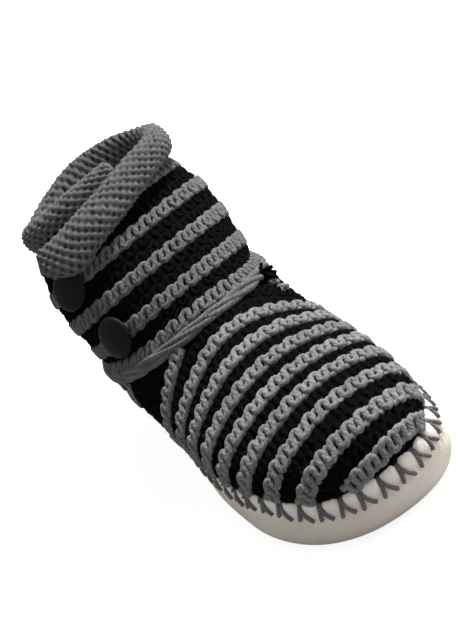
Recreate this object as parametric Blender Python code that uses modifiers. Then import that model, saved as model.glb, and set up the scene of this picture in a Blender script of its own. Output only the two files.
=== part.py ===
"""House slipper, right foot: a chunky knitted bootie sewn into a suede moccasin sole.

The toe points along -Y, the inner side of the foot is +X and the floor is Z = 0.  Sizes are
in millimetres and become metres when a mesh is made.  The pieces are the ones that a maker
joins: the moulded suede pan, the insole, the knitted upper with its shaft, the rolled collar
and the two shank buttons.
"""
import math
from collections import namedtuple

import bmesh
import bpy
import numpy as np
from mathutils import Matrix, Vector

MM = 0.001

# ---------------------------------------------------------------- driving sizes, millimetres
LENGTH = 262.0            # heel to toe of the suede pan
SUEDE = 2.2               # thickness of the sole leather
PAN_HEIGHT = 25.0         # height of the stitched edge above the floor
KNIT = 3.0                # wall of the chunky knit
GAP = 0.35                # running gap between pieces that touch
INSOLE = 4.0              # felt insole
EDGE_PUFF = 1.2           # the knit swells over the pan's edge by this much
TOE_SPRING = 3.0          # lift of the sole under the toe tip
SPRING_LENGTH = 34.0      # the lift ends this far behind the toe tip
ARCH_RISE = 1.2           # lift of the sole under the waist
ARCH_START = 104.0        # where the waist lifts off the floor, from the toe tip
ARCH_LENGTH = 74.0
LIFT_FADE = 60.0          # height at which the pan no longer follows those lifts
TUCK = 0.5                # extra inset of the knit's lower hem, inside the pan
INSOLE_MARGIN = 1.2       # room between the insole and the knit

ANKLE_FRONT_Y = -15.0     # where the shaft is picked up, front, back and height in front
ANKLE_BACK_Y = 117.0
ANKLE_FRONT_Z = 81.0
ANKLE_HALF_WIDTH = 46.8
ANKLE_SHIFT_X = -4.0
ANKLE_TILT = 26.5         # fall of the ankle seam towards the heel, degrees
ANKLE_FLATTEN = 0.0021    # how the seam levels out behind, per millimetre

RIDGE_PROUD = 2.4         # ankle seam: how far it stands out, and its half height
RIDGE_HALF = 3.4

SHAFT_LEAN = 25.7         # lean of the shaft towards the heel, degrees
SHAFT_RISE = 67.0         # from the ankle seam to the knit's upper edge, along the shaft
SHAFT_BARREL = 6.5        # how much wider the slack shaft is below its gathered mouth
MOUTH_HALF_WIDTH = 41.8
MOUTH_HALF_DEPTH = 31.0
MOUTH_OFFSET_X = 2.5      # the mouth's middle from the ankle seam's, towards the inner side
PLACKET_PROUD = 1.6       # overlap of the buttoned front on the shaft's outer side
PLACKET_TURN = -76.0      # its edge, degrees round the shaft from the front
PLACKET_FADE = 46.0       # where it has died away

BUTTON_RADIUS = 11.0
BUTTON_DOME = 2.4
BUTTON_RIM = 1.4
SHANK_RADIUS = 3.2
SHANK_LENGTH = 1.2
BUTTON_SIDES = 24
BUTTON_CHAMFER = 1.2

COLUMNS = 64              # points round each ring of the sole and upper
FOREFOOT_CROWDING = 0.055 # shifts the side columns back, over the ankle
ROLL_SIDES = 16           # points round the collar's section
ROLL_STEP = 8.0           # degrees between the collar's sections

Plan = namedtuple("Plan", "along outer inner")
PLAN = (                  # half widths of the pan, at a distance from the toe tip
    Plan(0.0, -9.0, 9.0),
    Plan(4.0, 11.5, 26.0),
    Plan(14.0, 26.5, 36.0),
    Plan(30.0, 39.5, 43.5),
    Plan(52.0, 48.5, 47.5),
    Plan(78.0, 52.0, 47.5),
    Plan(108.0, 51.5, 43.0),
    Plan(140.0, 48.0, 37.5),
    Plan(175.0, 43.0, 35.0),
    Plan(210.0, 39.0, 35.5),
    Plan(236.0, 32.5, 32.5),
    Plan(254.0, 19.5, 20.0),
    Plan(262.0, 0.0, 0.0),
)

Side = namedtuple("Side", "height inset")
PAN_SIDE = (              # outer face of the pan: inset from its widest line, by height
    Side(0.0, 6.0),
    Side(1.3, 3.0),
    Side(3.8, 1.1),
    Side(8.0, 0.1),
    Side(13.0, 0.1),
    Side(19.0, 1.0),
    Side(PAN_HEIGHT, 2.6),
)
TUCKED_HEIGHTS = (5.5, 8.0, 13.0, 19.0, PAN_HEIGHT)

Reach = namedtuple("Reach", "turn rise puff slope hold")
REACH = (                 # how the knit leaves the pan and meets the ankle, round the foot
    Reach(0.0, 25.0, 1.5, 22.0, 96.0),
    Reach(45.0, 20.0, 2.2, 55.0, 25.0),
    Reach(90.0, 14.0, 4.0, 78.0, 14.0),
    Reach(135.0, 10.0, 3.0, 84.0, 10.0),
    Reach(180.0, 9.0, 1.5, 86.0, 8.0),
)
FOOT_STEPS = (0.0, 0.07, 0.16, 0.27, 0.39, 0.52, 0.66, 0.80, 0.92)
SHAFT_STEPS = (0.12, 0.26, 0.42, 0.58, 0.72, 0.84, 0.93, 1.0)

Roll = namedtuple("Roll", "turn out middle half_height half_thick flare")
COLLAR = (                # the collar band, from its outer end round to the curled end inside
    Roll(-58.0, 14.0, 63.6, 9.4, 3.0, 2.0),
    Roll(-50.0, 13.8, 60.6, 11.2, 3.4, 2.8),
    Roll(-38.0, 11.8, 57.4, 12.6, 3.8, 4.0),
    Roll(-20.0, 9.8, 60.2, 11.2, 4.4, 3.8),
    Roll(0.0, 8.2, 63.0, 9.8, 4.8, 3.2),
    Roll(22.0, 7.4, 67.2, 8.8, 5.2, 2.0),
    Roll(45.0, 6.6, 71.2, 8.0, 5.8, 0.6),
    Roll(72.0, 3.8, 76.4, 8.6, 5.8, 0.0),
    Roll(105.0, 0.0, 80.0, 11.4, 4.6, 0.0),
    Roll(140.0, -1.2, 83.6, 15.2, 3.8, 0.0),
    Roll(175.0, -1.5, 84.4, 16.4, 3.6, 0.0),
    Roll(205.0, -1.4, 81.0, 14.0, 3.8, 0.0),
    Roll(232.0, -1.6, 77.3, 10.5, 4.4, 0.0),
    Roll(256.0, -3.0, 75.2, 8.0, 5.4, 0.0),
    Roll(280.0, -5.0, 75.6, 7.2, 6.2, 0.0),
    Roll(306.0, -7.6, 73.8, 7.4, 6.4, 0.0),
    Roll(330.0, -8.0, 73.8, 7.2, 6.2, 0.0),
    Roll(352.0, -7.4, 75.2, 6.8, 5.8, 0.0),
    Roll(376.0, -6.4, 77.0, 6.2, 5.2, 0.0),
)

Button = namedtuple("Button", "name turn rise")
BUTTONS = (
    Button("button_lower", -50.0, 17.0),
    Button("button_upper", -56.0, 46.0),
)


# ---------------------------------------------------------------- curves
def curve_through(rows, at, level_ends=False):
    """Values at `at` of a smooth curve through rows, whose first column is the parameter."""
    table = np.asarray(rows, float)
    keys, values = table[:, 0], table[:, 1:]
    slopes = np.empty_like(values)
    slopes[1:-1] = (values[2:] - values[:-2]) / (keys[2:] - keys[:-2])[:, None]
    slopes[0] = (values[1] - values[0]) / (keys[1] - keys[0])
    slopes[-1] = (values[-1] - values[-2]) / (keys[-1] - keys[-2])
    if level_ends:
        slopes[0] = slopes[-1] = 0.0
    at = np.clip(np.asarray(at, float), keys[0], keys[-1])
    index = np.clip(np.searchsorted(keys, at, side="right") - 1, 0, len(keys) - 2)
    span = (keys[index + 1] - keys[index])[:, None]
    step = (at - keys[index])[:, None] / span
    return (
        (2 * step**3 - 3 * step**2 + 1) * values[index]
        + (step**3 - 2 * step**2 + step) * span * slopes[index]
        + (-2 * step**3 + 3 * step**2) * values[index + 1]
        + (step**3 - step**2) * span * slopes[index + 1]
    )


def closed_curve(points, steps):
    """A smooth closed curve through the points, with tangents weighted by their spacing."""
    points = np.asarray(points, float)
    count = len(points)
    fine = np.linspace(0.0, 1.0, steps, endpoint=False)[:, None]
    pieces = []
    for i in range(count):
        before, here, there, after = (points[(i + k) % count] for k in (-1, 0, 1, 2))
        gap_in, gap, gap_out = (
            math.sqrt(np.linalg.norm(b - a))
            for a, b in ((before, here), (here, there), (there, after))
        )
        leave = (here - before) / gap_in - (there - before) / (gap_in + gap) + (there - here) / gap
        arrive = (there - here) / gap - (after - here) / (gap + gap_out) + (after - there) / gap_out
        pieces.append(
            (2 * fine**3 - 3 * fine**2 + 1) * here
            + (fine**3 - 2 * fine**2 + fine) * leave * gap
            + (-2 * fine**3 + 3 * fine**2) * there
            + (fine**3 - fine**2) * arrive * gap
        )
    return np.vstack(pieces)


def pan_outline():
    """The pan's widest line: COLUMNS points from the toe tip by the inner side to the heel."""
    inner = [(row.inner, row.along - LENGTH / 2) for row in PLAN]
    outer = [(-row.outer, row.along - LENGTH / 2) for row in PLAN[1:-1]]
    steps = 16
    curve = closed_curve(inner + outer[::-1], steps)
    ends = np.vstack([curve, curve[:1]])
    run = np.concatenate([[0.0], np.cumsum(np.linalg.norm(np.diff(ends, axis=0), axis=1))])
    heel = run[steps * (len(inner) - 1)]
    even = np.arange(COLUMNS // 2) * 2.0 / COLUMNS
    share = even + FOREFOOT_CROWDING * np.sin(2 * math.pi * even)
    inner_side = share * heel
    outer_side = run[-1] - np.append(share[1:], 1.0)[::-1] * (run[-1] - heel)
    stations = np.concatenate([inner_side, outer_side])
    return np.stack([np.interp(stations, run, ends[:, k]) for k in (0, 1)], axis=1)


def outward(loop):
    """Unit normals of a closed plan curve that runs anticlockwise."""
    tangent = np.roll(loop, -1, axis=0) - np.roll(loop, 1, axis=0)
    tangent /= np.linalg.norm(tangent, axis=1)[:, None]
    return np.stack([tangent[:, 1], -tangent[:, 0]], axis=1)


def sole_lift(y):
    """Height of the sole's underside: flat at heel and ball, lifted at toe tip and waist."""
    along = np.asarray(y) + LENGTH / 2
    toe = np.clip((SPRING_LENGTH - along) / SPRING_LENGTH, 0.0, 1.0)
    waist = np.clip((along - ARCH_START) / ARCH_LENGTH, 0.0, 1.0)
    return TOE_SPRING * toe**2 + ARCH_RISE * np.sin(math.pi * waist) ** 2


def pan_inset(height):
    """Inset of the pan's outer face from its widest line at a height."""
    return curve_through(PAN_SIDE, np.atleast_1d(height))[:, 0]


def level_loop(outline, inset, height):
    """The outline drawn in by `inset` and lifted to `height` above the sole's underside."""
    flat = outline - outward(outline) * np.reshape(inset, (-1, 1))
    lift = sole_lift(flat[:, 1]) * max(0.0, 1.0 - height / LIFT_FADE)
    return np.column_stack([flat, height + lift])


# ---------------------------------------------------------------- ankle and shaft
def turns():
    """Angle of each column round the slipper: 0 at the toe, a quarter turn on the inner side."""
    return np.arange(COLUMNS) * 2 * math.pi / COLUMNS


def ankle_height(y):
    """Height of the ankle seam, which falls towards the heel and levels out behind."""
    back = np.asarray(y) - ANKLE_FRONT_Y
    fall = back * math.tan(math.radians(ANKLE_TILT)) - ANKLE_FLATTEN * back**2
    return ANKLE_FRONT_Z - fall


def ankle_loop():
    """Centre line of the ankle seam."""
    turn = turns()
    middle = (ANKLE_FRONT_Y + ANKLE_BACK_Y) / 2
    half = (ANKLE_BACK_Y - ANKLE_FRONT_Y) / 2
    x = ANKLE_SHIFT_X + ANKLE_HALF_WIDTH * np.sin(turn)
    y = middle - half * np.cos(turn)
    return np.column_stack([x, y, ankle_height(y)])


def shaft_axis():
    """Unit vector up the leaning shaft."""
    lean = math.radians(SHAFT_LEAN)
    return np.array([0.0, math.sin(lean), math.cos(lean)])


def shaft_back():
    """Unit vector across the shaft, from its front to its back."""
    lean = math.radians(SHAFT_LEAN)
    return np.array([0.0, math.cos(lean), -math.sin(lean)])


def mouth_point(turn, out=0.0, rise=SHAFT_RISE):
    """A point by the shaft's mouth: turn from the front, distance out of the wall, height."""
    turn = np.atleast_1d(turn)
    across, deep = MOUTH_HALF_WIDTH, MOUTH_HALF_DEPTH
    normal = np.column_stack([np.sin(turn) / across, -np.cos(turn) / deep])
    normal /= np.linalg.norm(normal, axis=1)[:, None]
    flat = np.column_stack([across * np.sin(turn), -deep * np.cos(turn)])
    flat = flat + normal * np.reshape(out, (-1, 1))
    rise = np.reshape(rise, (-1, 1)) * np.ones((len(turn), 1))
    base = ankle_loop().mean(axis=0) + [MOUTH_OFFSET_X, 0.0, 0.0]
    return base + flat[:, :1] * [1.0, 0.0, 0.0] + flat[:, 1:] * shaft_back() + rise * shaft_axis()


def placket_lift(turn):
    """How far the buttoned overlap stands out: a step at its edge, dying away in front."""
    degrees = (np.degrees(turn) + 180.0) % 360.0 - 180.0
    edge = np.clip((degrees - PLACKET_TURN) / 4.0, 0.0, 1.0)
    fade = np.clip((PLACKET_TURN + PLACKET_FADE - degrees) / PLACKET_FADE, 0.0, 1.0)
    return PLACKET_PROUD * edge * np.where(degrees < PLACKET_TURN, 0.0, fade)


def shaft_loop(share):
    """The shaft's outer face at a share of the way from the ankle seam to the mouth."""
    turn = turns()
    seam = ankle_loop()
    mouth = mouth_point(turn)
    loop = seam * (1 - share) + mouth * share
    out = np.column_stack([outward(loop[:, :2]), np.zeros(COLUMNS)])
    swell = SHAFT_BARREL * math.sin(math.pi * share**1.5) * np.sin(turn) ** 2
    strength = min(1.0, share * 4.0) * min(1.0, (1.0 - share) * 6.0)
    return loop + out * (placket_lift(turn) * strength + swell)[:, None]


def foot_reach():
    """Table of how each column leaves the pan and meets the ankle."""
    degrees = np.degrees(turns())
    mirrored = np.minimum(degrees, 360.0 - degrees)
    return curve_through(REACH, mirrored, level_ends=True)


def foot_loops(outline, ankle):
    """Rings of the knitted foot from the pan's edge to just under the ankle seam."""
    inset = pan_inset(PAN_HEIGHT)[0] + SUEDE + GAP
    start = level_loop(outline, inset - EDGE_PUFF, PAN_HEIGHT + EDGE_PUFF)
    rise, puff, slope, hold = foot_reach().T
    out_pan = np.column_stack([outward(outline), np.zeros(COLUMNS)])
    out_ankle = np.column_stack([outward(ankle[:, :2]), np.zeros(COLUMNS)])
    up = np.array([0.0, 0.0, 1.0])
    steep = np.radians(slope)[:, None]
    leave = start + up * rise[:, None] + out_pan * puff[:, None]
    arrive = ankle + (out_ankle * np.cos(steep) - up * np.sin(steep)) * hold[:, None]
    for t in FOOT_STEPS:
        yield (
            (1 - t) ** 3 * start
            + 3 * t * (1 - t) ** 2 * leave
            + 3 * t**2 * (1 - t) * arrive
            + t**3 * ankle
        )


def ridge_loops(below, ankle, above):
    """The ankle seam as a rounded step in the wall, between the rings under and over it."""
    out = np.column_stack([outward(ankle[:, :2]), np.zeros(COLUMNS)])
    down = below - ankle
    down *= RIDGE_HALF / np.linalg.norm(down, axis=1)[:, None]
    rise = above - ankle
    rise *= RIDGE_HALF / np.linalg.norm(rise, axis=1)[:, None]
    lifted = out * 0.55 + shaft_axis() * 0.25
    return [
        ankle + down * 1.25,
        ankle + down * 0.75 + lifted * RIDGE_PROUD,
        ankle + out * RIDGE_PROUD,
        ankle + rise * 0.75 + out * RIDGE_PROUD * 0.8,
        ankle + rise * 1.25,
    ]


def upper_loops():
    """All rings of the upper's outer face, from inside the pan to the mouth."""
    outline = pan_outline()
    rings = []
    for height in TUCKED_HEIGHTS:
        tuck = TUCK if height == TUCKED_HEIGHTS[0] else 0.0
        inset = pan_inset(height)[0] + SUEDE + GAP + tuck
        rings.append(level_loop(outline, inset, height))
    ankle = ankle_loop()
    foot = list(foot_loops(outline, ankle))
    shaft = [shaft_loop(share) for share in SHAFT_STEPS]
    return rings + foot + ridge_loops(foot[-1], ankle, shaft[0]) + shaft


# ---------------------------------------------------------------- other pieces
def pan_loops():
    """Rings of the pan's outer face, from the edge of its flat underside upwards."""
    outline = pan_outline()
    return [level_loop(outline, row.inset, row.height) for row in PAN_SIDE]


def insole_loops():
    """Rings of the insole, lying on the pan's floor inside the knit."""
    outline = pan_outline()
    floor = SUEDE + GAP
    wall = SUEDE + GAP + KNIT + GAP + INSOLE_MARGIN
    rows = ((floor, wall + 2.2), (floor + 1.0, wall + 1.2), (floor + INSOLE - 0.8, wall),
            (floor + INSOLE, wall + 0.8))
    return [level_loop(outline, inset, height) for height, inset in rows]


def collar_sections():
    """Sections of the collar band along its spiral, each a rounded ring of ROLL_SIDES points."""
    first, last = COLLAR[0].turn, COLLAR[-1].turn
    count = int((last - first) / ROLL_STEP) + 1
    at = np.linspace(first, last, count)
    shape = curve_through(COLLAR, at)
    around = -np.arange(ROLL_SIDES) * 2 * math.pi / ROLL_SIDES
    round_x = np.sign(np.cos(around)) * np.abs(np.cos(around)) ** 0.9
    round_z = np.sign(np.sin(around)) * np.abs(np.sin(around)) ** 0.9
    sections = []
    for i, (turn, (out, middle, half_height, half_thick, flare)) in enumerate(zip(at, shape)):
        ends = min(i, count - 1 - i)
        taper = (0.62, 0.9)[ends] if ends < 2 else 1.0
        angle = np.full(ROLL_SIDES, math.radians(turn))
        sections.append(mouth_point(
            angle,
            out + half_thick * taper * round_x - flare * taper * round_z,
            middle + half_height * taper * round_z,
        ))
    return sections


def wall_seat(turn_degrees, rise):
    """A point on the shaft's outer face and the wall's outward direction there."""
    turn = math.radians(turn_degrees) % (2 * math.pi)
    sideways = 2 * math.pi / COLUMNS

    def on_wall(angle, height):
        loop = shaft_loop(height / SHAFT_RISE)
        place = angle / (2 * math.pi) * COLUMNS
        low = int(math.floor(place))
        part = place - low
        return loop[low % COLUMNS] * (1 - part) + loop[(low + 1) % COLUMNS] * part

    point = on_wall(turn, rise)
    across = on_wall(turn + sideways, rise) - on_wall(turn - sideways, rise)
    along = on_wall(turn, rise + SHANK_RADIUS) - on_wall(turn, rise - SHANK_RADIUS)
    normal = np.cross(across, along)
    return point, normal / np.linalg.norm(normal)


def button_profile():
    """Half section of a shank button, from the crown down its outer side to the shank's foot."""
    foot = GAP
    back = foot + SHANK_LENGTH
    rim = back + BUTTON_RIM
    crown = [
        (BUTTON_RADIUS * math.sin(a), rim + BUTTON_DOME * math.cos(a))
        for a in np.linspace(0.0, math.pi / 2, 7)
    ]
    edge = [(BUTTON_RADIUS - BUTTON_CHAMFER / 3, back + BUTTON_CHAMFER / 4),
            (BUTTON_RADIUS - BUTTON_CHAMFER, back)]
    shank = [(SHANK_RADIUS, back), (SHANK_RADIUS, foot), (0.0, foot)]
    return crown + edge + shank


# ---------------------------------------------------------------- Blender objects
def finish(name, colour, roughness):
    """A plain Principled finish for one piece."""
    material = bpy.data.materials.new(name + "_finish")
    material.use_nodes = True
    shader = material.node_tree.nodes["Principled BSDF"]
    shader.inputs["Base Color"].default_value = (*colour, 1.0)
    shader.inputs["Roughness"].default_value = roughness
    return material


def add_piece(mesh_data, name, collection, material):
    """Link a mesh as a named piece with its finish."""
    mesh_data.materials.append(material)
    mesh_data.shade_smooth()
    mesh_data.set_sharp_from_angle(angle=math.radians(40.0))
    piece = bpy.data.objects.new(name, mesh_data)
    collection.objects.link(piece)
    return piece


def bridge(mesh, lower, upper):
    """Quads between two rings of vertices with the same count."""
    count = len(lower)
    for i in range(count):
        after = (i + 1) % count
        mesh.faces.new((lower[i], lower[after], upper[after], upper[i]))


def cap_ladder(mesh, ring, facing_up):
    """Close a sole-shaped ring with rungs from its inner side to its outer side."""
    count = len(ring)
    for i in range(count // 2):
        corners = (ring[i], ring[i + 1], ring[count - i - 1], ring[(count - i) % count])
        unique = list(dict.fromkeys(corners))
        if not facing_up:
            unique.reverse()
        mesh.faces.new(unique)


def cap_fan(mesh, ring, facing_up):
    """Close a small ring with triangles to its middle."""
    middle = mesh.verts.new(sum((v.co for v in ring), Vector()) / len(ring))
    for here, after in zip(ring, ring[1:] + ring[:1]):
        mesh.faces.new((here, after, middle) if facing_up else (after, here, middle))


def loft(name, rings, offset, cap_bottom=None, cap_top=None):
    """Mesh of a loft through rings of points; caps are functions that fill an end ring."""
    mesh = bmesh.new()
    rows = [[mesh.verts.new(Vector((p - offset) * MM)) for p in ring] for ring in rings]
    for lower, upper in zip(rows, rows[1:]):
        bridge(mesh, lower, upper)
    if cap_bottom:
        cap_bottom(mesh, rows[0], False)
    if cap_top:
        cap_top(mesh, rows[-1], True)
    data = bpy.data.meshes.new(name)
    mesh.to_mesh(data)
    mesh.free()
    return data


def add_wall(piece, thickness):
    """Give an open outer face its wall, inwards."""
    wall = piece.modifiers.new("wall", "SOLIDIFY")
    wall.thickness = thickness * MM
    wall.offset = -1.0


def add_button(button, offset, collection, material):
    """A turned shank button seated on the shaft's wall."""
    data = bpy.data.meshes.new(button.name)
    points = [(x * MM, 0.0, z * MM) for x, z in button_profile()]
    data.from_pydata(points, [(i, i + 1) for i in range(len(points) - 1)], [])
    piece = add_piece(data, button.name, collection, material)
    turned = piece.modifiers.new("turned", "SCREW")
    turned.steps = turned.render_steps = BUTTON_SIDES
    turned.use_merge_vertices = True
    turned.merge_threshold = 0.0001
    turned.use_smooth_shade = True
    point, normal = wall_seat(button.turn, button.rise)
    facing = Vector(normal).to_track_quat("Z", "Y").to_matrix().to_4x4()
    piece.matrix_world = Matrix.Translation(Vector((point - offset) * MM)) @ facing
    return piece


def main():
    """Build every piece, with the origin under the middle of the slipper's box."""
    for old in list(bpy.data.objects):
        bpy.data.objects.remove(old, do_unlink=True)
    collection = bpy.data.collections.new("house_slipper")
    bpy.context.scene.collection.children.link(collection)

    pan = pan_loops()
    insole = insole_loops()
    upper = upper_loops()
    collar = collar_sections()

    everything = np.vstack(pan + upper + collar)
    low, high = everything.min(axis=0), everything.max(axis=0)
    offset = np.array([(low[0] + high[0]) / 2, (low[1] + high[1]) / 2, 0.0])

    suede = finish("suede", (0.47, 0.42, 0.35), 0.9)
    felt = finish("felt", (0.30, 0.28, 0.26), 0.95)
    knit = finish("knit", (0.10, 0.10, 0.10), 0.95)
    roll = finish("rolled_knit", (0.16, 0.16, 0.16), 0.95)
    horn = finish("dark_horn", (0.02, 0.019, 0.018), 0.35)

    piece = add_piece(loft("suede_sole", pan, offset, cap_ladder), "suede_sole", collection, suede)
    add_wall(piece, SUEDE)
    data = loft("insole", insole, offset, cap_ladder, cap_ladder)
    add_piece(data, "insole", collection, felt)
    piece = add_piece(loft("knit_upper", upper, offset), "knit_upper", collection, knit)
    add_wall(piece, KNIT)
    data = loft("collar_roll", collar, offset, cap_fan, cap_fan)
    add_piece(data, "collar_roll", collection, roll)
    for button in BUTTONS:
        add_button(button, offset, collection, horn)


main()
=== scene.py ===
"""House slipper, right foot: yarn, suede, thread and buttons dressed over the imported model.

Lengths are in millimetres and become metres when a mesh is made.  The toe points along -Y, the
inner side of the foot is +X and the floor is Z = 0.
"""
from __future__ import annotations

import logging
import math
import random
from dataclasses import astuple, dataclass, replace
from enum import Enum
from typing import Iterator

import bmesh
import bpy
import numpy as np
from mathutils import Matrix, Vector
from mathutils.bvhtree import BVHTree
from mathutils.kdtree import KDTree

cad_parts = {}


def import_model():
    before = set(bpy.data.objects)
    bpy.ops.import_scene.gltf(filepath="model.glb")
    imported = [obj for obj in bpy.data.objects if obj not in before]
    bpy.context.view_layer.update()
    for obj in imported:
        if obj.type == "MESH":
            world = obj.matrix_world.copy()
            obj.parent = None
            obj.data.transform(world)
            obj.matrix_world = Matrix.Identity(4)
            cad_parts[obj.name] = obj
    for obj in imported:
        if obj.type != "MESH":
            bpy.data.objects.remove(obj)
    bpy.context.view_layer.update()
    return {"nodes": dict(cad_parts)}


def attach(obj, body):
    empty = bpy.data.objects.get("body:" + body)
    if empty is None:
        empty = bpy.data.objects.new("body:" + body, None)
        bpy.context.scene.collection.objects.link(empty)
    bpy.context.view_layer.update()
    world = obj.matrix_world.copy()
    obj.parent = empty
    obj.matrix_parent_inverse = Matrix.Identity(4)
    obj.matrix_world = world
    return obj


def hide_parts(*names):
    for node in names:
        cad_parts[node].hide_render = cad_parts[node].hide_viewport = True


MM = 0.001
LOG = logging.getLogger("house_slipper")
ROOT = "root"

# The slipper's own lines, shared by the pieces that follow them.
MIDDLE_X = 4.65            # middle of the foot
SPINE_Z = 28.0             # height of the foot's spine, from which its rows are drawn
PAN_TOP = 25.6             # the stitched edge of the suede
RIM_CLIMB = 6.5            # how much higher that edge is along the outer side of the toes
RIM_RISE = (-118.0, -82.0)    # where along the foot the edge climbs
RIM_FALL = (-20.0, 70.0)      # where it comes down again
RIM_FALL_SHARE = 0.7          # and by how much of the climb
RIM_ACROSS = (-24.0, 8.0)     # where the climb ends across the foot
SEAM_X = -1.35             # ankle seam: middle, half width, half length, height in front
SEAM_Y = 51.0
SEAM_HALF_WIDTH = 46.8
SEAM_HALF_LENGTH = 66.0
SEAM_START = SEAM_Y - SEAM_HALF_LENGTH
SEAM_FRONT_Z = 81.0
SEAM_FALL = math.tan(math.radians(26.5))
SEAM_LEVEL = 0.0021        # how soon the seam levels out towards the heel
SHAFT_LEAN = math.radians(25.7)
SHAFT_FOOT = np.array([SEAM_X, SEAM_Y, 61.8])
SHAFT_AXIS = np.array([0.0, math.sin(SHAFT_LEAN), math.cos(SHAFT_LEAN)])
SHAFT_BACK = np.array([0.0, math.cos(SHAFT_LEAN), -math.sin(SHAFT_LEAN)])
ACROSS = np.array([1.0, 0.0, 0.0])
HEEL_POLE_Y = 70.0         # centre of the heel's rounding
OUTSIDE = 200.0            # a distance from which the whole slipper lies ahead
SHORTEST_RUN = 6           # a run of this many places or fewer makes no row
STAND_OFF = 20.0           # distance from which a place on the suede is looked for

# Handwork: mean and spread of a loop's height, of its drift along the row and of its lift.
UNEVENNESS = ((1.0, 0.05), (0.0, 0.035), (0.0, 0.12))


class Wool(Enum):
    """The two wools of the stripes."""

    GREY = "grey"
    BLACK = "black"


# ---- small helpers
def smooth_step(low: float, high: float, value: np.ndarray) -> np.ndarray:
    """Rise smoothly from 0 at low to 1 at high.

    Args:
        low: where the rise starts.
        high: where it ends.
        value: values to map.

    Returns:
        The mapped values.
    """
    share = np.clip((np.asarray(value, float) - low) / (high - low), 0.0, 1.0)
    return share * share * (3.0 - 2.0 * share)


def unit(ways: np.ndarray) -> np.ndarray:
    """Directions brought to unit length."""
    return ways / (np.linalg.norm(ways, axis=-1, keepdims=True) + 1e-9)


def running_length(places: np.ndarray) -> np.ndarray:
    """Distance of each point of a line from the line's start."""
    steps = np.linalg.norm(np.diff(places, axis=0), axis=1)
    return np.concatenate([[0.0], np.cumsum(steps)])


def seam_height(y: np.ndarray) -> np.ndarray:
    """Height of the ankle seam at a distance along the foot.

    Args:
        y: position along the foot.

    Returns:
        The seam's height there.
    """
    back = np.asarray(y, float) - SEAM_START
    return SEAM_FRONT_Z - back * SEAM_FALL + SEAM_LEVEL * back**2


def rim_height(x: np.ndarray, y: np.ndarray) -> np.ndarray:
    """Height of the suede's stitched edge, which climbs along the outer side of the toes.

    Args:
        x: position across the foot.
        y: position along the foot.

    Returns:
        The edge's height there.
    """
    climb = smooth_step(*RIM_RISE, y) * (1.0 - RIM_FALL_SHARE * smooth_step(*RIM_FALL, y))
    return PAN_TOP + RIM_CLIMB * climb * (1.0 - smooth_step(*RIM_ACROSS, x))


def add_object(name: str, data: bpy.types.ID) -> bpy.types.Object:
    """Put data in the scene as an object at the origin.

    Args:
        name: the object's name.
        data: its mesh, curve, light or camera.

    Returns:
        The object.
    """
    made = bpy.data.objects.new(name, data)
    bpy.context.scene.collection.objects.link(made)
    return made


def link(mesh: bpy.types.Mesh, name: str, material: bpy.types.Material) -> bpy.types.Object:
    """Put a finished mesh in the scene as a named piece.

    Args:
        mesh: the piece's mesh, in place.
        name: the piece's name.
        material: its finish.

    Returns:
        The new object.
    """
    mesh.materials.clear()
    mesh.materials.append(material)
    mesh.shade_smooth()
    return add_object(name, mesh)


def settle(piece: bpy.types.Object, slot: str, *nodes: str) -> bpy.types.Object:
    """Fix a piece to the slipper and hide the solids that it stands for.

    Args:
        piece: the finished piece.
        slot: not used.
        nodes: solids that the piece stands for.

    Returns:
        The same piece.
    """
    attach(piece, ROOT)
    if nodes:
        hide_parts(*nodes)
    LOG.info("%s: %d faces", piece.name, len(piece.data.polygons))
    return piece


def finished_mesh(form: bmesh.types.BMesh, name: str) -> bpy.types.Mesh:
    """Turn a bmesh into a mesh and free it.

    Args:
        form: the bmesh.
        name: name of the mesh.

    Returns:
        The mesh.
    """
    mesh = bpy.data.meshes.new(name)
    form.to_mesh(mesh)
    form.free()
    return mesh


def baked_mesh(holder: bpy.types.Object) -> bpy.types.Mesh:
    """Take an object's mesh with its modifiers or bevel applied, and drop the object.

    Args:
        holder: the object.

    Returns:
        The mesh.
    """
    graph = bpy.context.evaluated_depsgraph_get()
    mesh = bpy.data.meshes.new_from_object(holder.evaluated_get(graph))
    bpy.data.objects.remove(holder)
    return mesh


def read_points(mesh: bpy.types.Mesh) -> tuple[np.ndarray, np.ndarray]:
    """Read a mesh's points and normals.

    Args:
        mesh: the mesh to read.

    Returns:
        Points in millimetres, and unit normals.
    """
    count = len(mesh.vertices)
    points = np.empty(count * 3, np.float32)
    normals = np.empty(count * 3, np.float32)
    mesh.vertices.foreach_get("co", points)
    mesh.vertex_normals.foreach_get("vector", normals)
    return points.reshape(-1, 3).astype(float) / MM, normals.reshape(-1, 3).astype(float)


def write_points(mesh: bpy.types.Mesh, points: np.ndarray) -> None:
    """Move a mesh's points to new places, given in millimetres."""
    mesh.vertices.foreach_set("co", (points * MM).astype(np.float32).ravel())
    mesh.update()


def smooth_copy(solid: bpy.types.Object, levels: int, name: str) -> bpy.types.Mesh:
    """A welded, rounded copy of a solid's skin.

    Args:
        solid: the solid.
        levels: how often its faces are divided.
        name: name of the new mesh.

    Returns:
        The copy's mesh.
    """
    skin = bmesh.new()
    skin.from_mesh(solid.data)
    bmesh.ops.remove_doubles(skin, verts=skin.verts, dist=1e-6)
    bmesh.ops.join_triangles(
        skin,
        faces=skin.faces,
        angle_face_threshold=math.radians(50.0),
        angle_shape_threshold=math.radians(70.0),
    )
    mesh = finished_mesh(skin, name)
    if levels == 0:
        return mesh
    holder = add_object(name, mesh)
    divided = holder.modifiers.new("divided", "SUBSURF")
    divided.levels = divided.render_levels = levels
    rounded = baked_mesh(holder)
    rounded.name = name
    return rounded


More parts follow.
